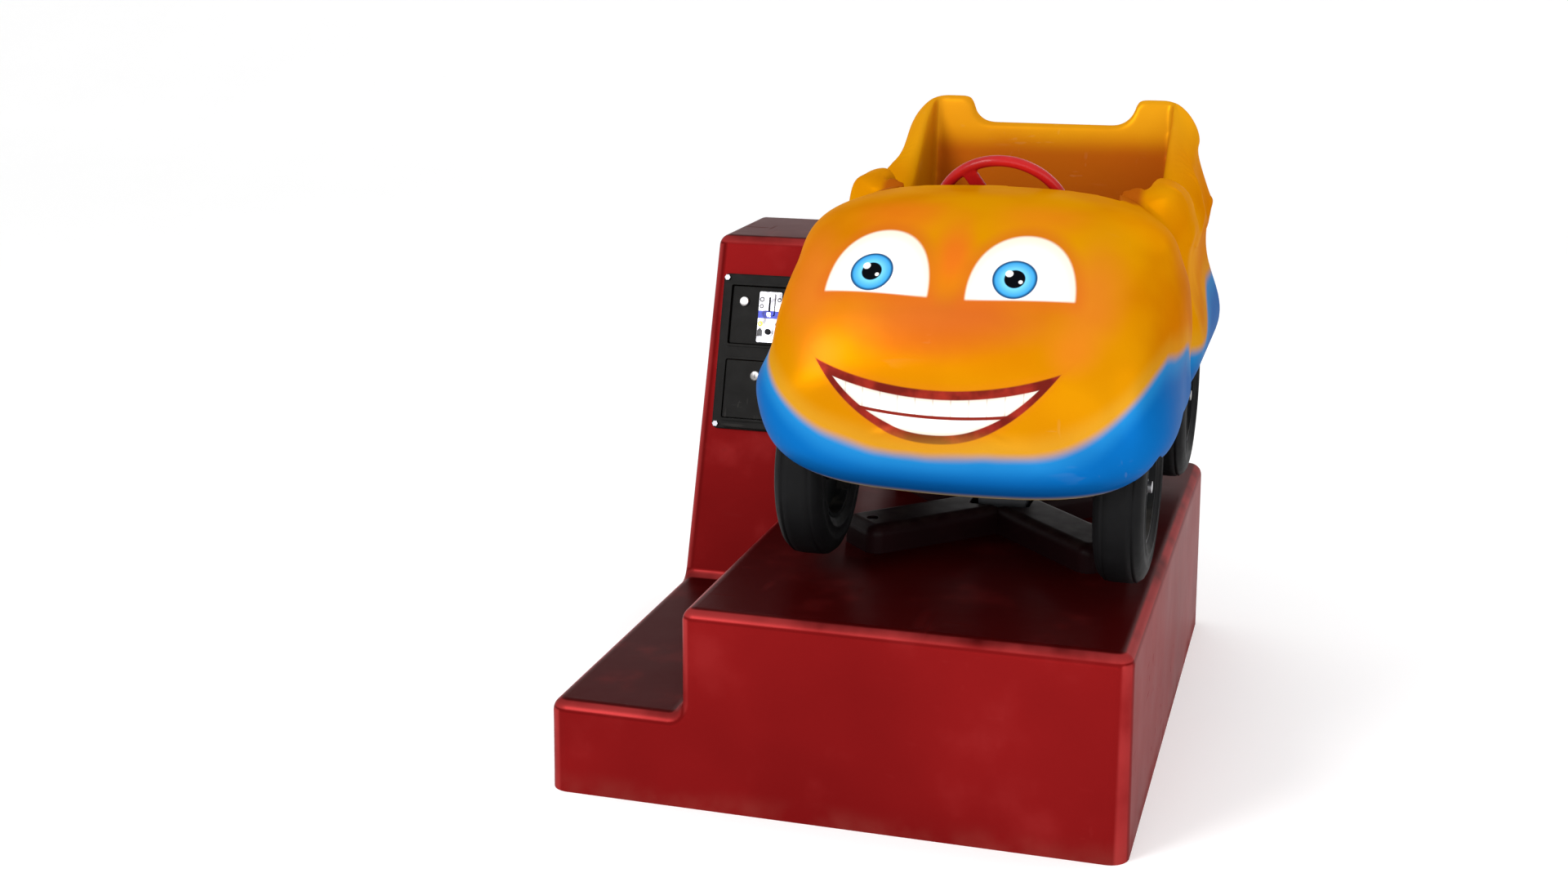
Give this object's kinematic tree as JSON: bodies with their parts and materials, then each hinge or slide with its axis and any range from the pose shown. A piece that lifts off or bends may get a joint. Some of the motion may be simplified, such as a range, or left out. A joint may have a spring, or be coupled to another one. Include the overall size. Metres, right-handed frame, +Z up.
{
  "type": "kiddie ride machine",
  "caption": "Coin-operated kiddie ride: a toy car with a painted face circles gently on cranks above a red plinth with a step and a leaning coin tower.",
  "frame": {"origin": "centre of the four floor anchor holes, on the floor under the plinth", "axes": "+Z up; the car faces -Y; the step and coin tower are on the -X side"},
  "size_m": [1.0338, 1.209, 1.1292],
  "materials": {
    "red_grp": "glossy red gelcoat with slight moulding ripple",
    "yellow_grp": "glossy yellow gelcoat, airbrushed orange blush and blue lower band",
    "cover_maroon": "semi-gloss dark maroon moulding",
    "black_paint": "satin black powder coat",
    "frame_grey": "grey primer",
    "steel": "bright machined steel",
    "zinc": "zinc plated",
    "cast_grey": "painted castings",
    "motor_blue": "blue-grey motor paint",
    "black_plastic": "moulded black plastic",
    "belt_rubber": "black toothed belt rubber",
    "pad_rubber": "moulded rubber",
    "tyre_rubber": "satin black tyre",
    "rim_black": "black moulded wheel centre",
    "board_green": "circuit board",
    "plate_metal": "brushed plate with a blue band",
    "chrome": "polished",
    "bronze": "sintered bronze",
    "steering_red": "glossy red plastic",
    "grey_metal": "light grey sheet metal"
  },
  "bodies": {
    "base": {"base_shell": "red_grp", "base_frame": "frame_grey", "rubber_feet": "pad_rubber", "shell_bolts": "zinc", "cross_cover": "cover_maroon", "cover_screws": "zinc", "bearing_blocks": "cast_grey", "block_bolts": "zinc", "gearbox": "cast_grey", "motor_body": "motor_blue", "fan_cowl": "motor_blue", "terminal_box": "black_plastic", "timing_belt": "belt_rubber", "control_box": "grey_metal", "control_lid": "black_plastic", "control_board": "board_green", "mains_inlet": "black_plastic", "coin_panel": "black_paint", "panel_bolts": "zinc", "hinge_pins": "steel", "cash_shelf": "black_paint", "cash_box": "grey_metal"},
    "front_crank": {"front_crankshaft": "steel", "front_pulley": "steel"},
    "rear_crank": {"rear_crankshaft": "steel", "rear_pulley": "steel"},
    "car": {"ride_frame": "frame_grey", "front_bushes": "bronze", "rear_bushes": "bronze", "chassis": "frame_grey", "chassis_bolts": "zinc", "front_axle": "steel", "rear_axle": "steel", "front_axle_nuts": "zinc", "rear_axle_nuts": "zinc", "car_body": "yellow_grp", "floor_mat": "pad_rubber", "body_bolts": "zinc", "steering_column": "black_paint", "steering_flange": "black_plastic"},
    "steering": {"steering_shaft": "steel", "steering_wheel": "steering_red", "steering_cap": "steering_red"},
    "upper_door": {"upper_door": "black_paint", "coin_plate": "plate_metal", "coin_acceptor": "black_plastic"},
    "lower_door": {"lower_door": "black_paint"},
    "upper_lock": {"upper_lock": "chrome"},
    "lower_lock": {"lower_lock": "chrome"},
    "reject_button": {"reject_button": "black_plastic"},
    "wheel_fl": {"tyre_fl": "tyre_rubber", "rim_fl": "rim_black"},
    "wheel_fr": {"tyre_fr": "tyre_rubber", "rim_fr": "rim_black"},
    "wheel_rl": {"tyre_rl": "tyre_rubber", "rim_rl": "rim_black"},
    "wheel_rr": {"tyre_rr": "tyre_rubber", "rim_rr": "rim_black"}
  },
  "joints": [
    {"name": "front_crank_turn", "type": "hinge", "parent": "base", "child": "front_crank", "pos_m": [0.05, -0.122, 0.19], "axis": [1, 0, 0], "continuous": true},
    {"name": "rear_crank_turn", "type": "hinge", "parent": "base", "child": "rear_crank", "pos_m": [0.05, 0.218, 0.19], "axis": [1, 0, 0], "continuous": true},
    {"name": "ride_on_front_crank", "type": "hinge", "parent": "front_crank", "child": "car", "pos_m": [0.05, -0.122, 0.17], "axis": [1, 0, 0], "continuous": true},
    {"name": "steering_turn", "type": "hinge", "parent": "car", "child": "steering", "pos_m": [0.05, -0.056, 0.955], "axis": [0, 0.9272, 0.3746], "continuous": true},
    {"name": "wheel_fl_spin", "type": "hinge", "parent": "car", "child": "wheel_fl", "pos_m": [0.3215, -0.292, 0.55], "axis": [1, 0, 0], "continuous": true},
    {"name": "wheel_fr_spin", "type": "hinge", "parent": "car", "child": "wheel_fr", "pos_m": [-0.2215, -0.292, 0.55], "axis": [1, 0, 0], "continuous": true},
    {"name": "wheel_rl_spin", "type": "hinge", "parent": "car", "child": "wheel_rl", "pos_m": [0.3215, 0.388, 0.55], "axis": [1, 0, 0], "continuous": true},
    {"name": "wheel_rr_spin", "type": "hinge", "parent": "car", "child": "wheel_rr", "pos_m": [-0.2215, 0.388, 0.55], "axis": [1, 0, 0], "continuous": true},
    {"name": "upper_door_swing", "type": "hinge", "parent": "base", "child": "upper_door", "pos_m": [-0.4485, 0.25377, 0.68739], "axis": [0, 0.2961, 0.9552], "range_deg": [0, 90]},
    {"name": "lower_door_swing", "type": "hinge", "parent": "base", "child": "lower_door", "pos_m": [-0.4485, 0.20369, 0.54273], "axis": [0, 0.2961, 0.9552], "range_deg": [0, 90]},
    {"name": "upper_lock_turn", "type": "hinge", "parent": "upper_door", "child": "upper_lock", "pos_m": [-0.54, 0.26588, 0.71295], "axis": [0, -0.9552, 0.2961], "range_deg": [-90, 0]},
    {"name": "lower_lock_turn", "type": "hinge", "parent": "lower_door", "child": "lower_lock", "pos_m": [-0.502, 0.2161, 0.56924], "axis": [0, -0.9552, 0.2961], "range_deg": [-90, 0]},
    {"name": "reject_press", "type": "slide", "parent": "upper_door", "child": "reject_button", "axis": [0, 0.9552, -0.2961], "range_m": [0, 0.005], "stiffness_N_per_m": 300}
  ],
  "couplings": [
    {"joint": "rear_crank_turn", "follows": "front_crank_turn", "ratio": 1},
    {"joint": "ride_on_front_crank", "follows": "front_crank_turn", "ratio": -1}
  ]
}
